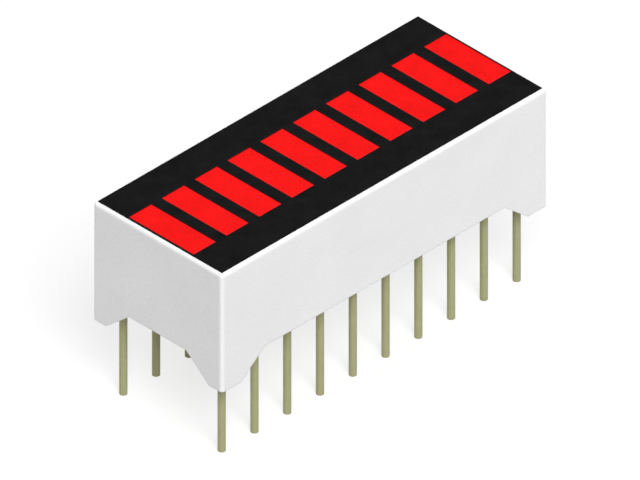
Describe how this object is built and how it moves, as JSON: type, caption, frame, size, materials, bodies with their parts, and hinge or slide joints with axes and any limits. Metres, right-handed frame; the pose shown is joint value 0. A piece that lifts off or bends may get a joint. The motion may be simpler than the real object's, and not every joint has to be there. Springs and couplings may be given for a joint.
{
  "type": "led bar graph",
  "caption": "LED bar graph in a dual-in-line package: red segments flush in a black face, a pale moulded housing with corner feet, and straight round pins.",
  "frame": {"origin": "on the plane of the pin tips, under the centre of the face; the feet are 5.0 mm above it", "axes": "+X along the housing, the length the segments are counted along; +Y across it, from the row of pins 1 to 10 to the row of pins 11 to 20; +Z from the pin tips out of the face"},
  "size_m": [0.0252, 0.01, 0.0129],
  "materials": {
    "housing_plastic": "moulded, fine satin",
    "face_ink": "printed, matte",
    "segment_resin": "cast, diffused, satin",
    "board_laminate": "pressed glass cloth, satin",
    "backing_resin": "poured, smooth",
    "track_copper": "plated, smooth",
    "conductive_glue": "silver-filled, dull",
    "chip_crystal": "sawn, dull",
    "bond_gold": "drawn, bright",
    "pin_tin": "tin-plated, satin",
    "solder": "flowed, satin"
  },
  "bodies": {
    "root": {"housing": "housing_plastic", "face_mask": "face_ink", "circuit_board": "board_laminate", "potting": "backing_resin", "cathode_tracks": "track_copper", "anode_tracks": "track_copper", "die_attach": "conductive_glue", "solder_joints": "solder", "led_chip_01": "chip_crystal", "bond_wire_01": "bond_gold", "segment_lens_01": "segment_resin", "led_chip_02": "chip_crystal", "bond_wire_02": "bond_gold", "segment_lens_02": "segment_resin", "led_chip_03": "chip_crystal", "bond_wire_03": "bond_gold", "segment_lens_03": "segment_resin", "led_chip_04": "chip_crystal", "bond_wire_04": "bond_gold", "segment_lens_04": "segment_resin", "led_chip_05": "chip_crystal", "bond_wire_05": "bond_gold", "segment_lens_05": "segment_resin", "led_chip_06": "chip_crystal", "bond_wire_06": "bond_gold", "segment_lens_06": "segment_resin", "led_chip_07": "chip_crystal", "bond_wire_07": "bond_gold", "segment_lens_07": "segment_resin", "led_chip_08": "chip_crystal", "bond_wire_08": "bond_gold", "segment_lens_08": "segment_resin", "led_chip_09": "chip_crystal", "bond_wire_09": "bond_gold", "segment_lens_09": "segment_resin", "led_chip_10": "chip_crystal", "bond_wire_10": "bond_gold", "segment_lens_10": "segment_resin", "pin_01": "pin_tin", "pin_02": "pin_tin", "pin_03": "pin_tin", "pin_04": "pin_tin", "pin_05": "pin_tin", "pin_06": "pin_tin", "pin_07": "pin_tin", "pin_08": "pin_tin", "pin_09": "pin_tin", "pin_10": "pin_tin", "pin_11": "pin_tin", "pin_12": "pin_tin", "pin_13": "pin_tin", "pin_14": "pin_tin", "pin_15": "pin_tin", "pin_16": "pin_tin", "pin_17": "pin_tin", "pin_18": "pin_tin", "pin_19": "pin_tin", "pin_20": "pin_tin"}
  },
  "joints": []
}
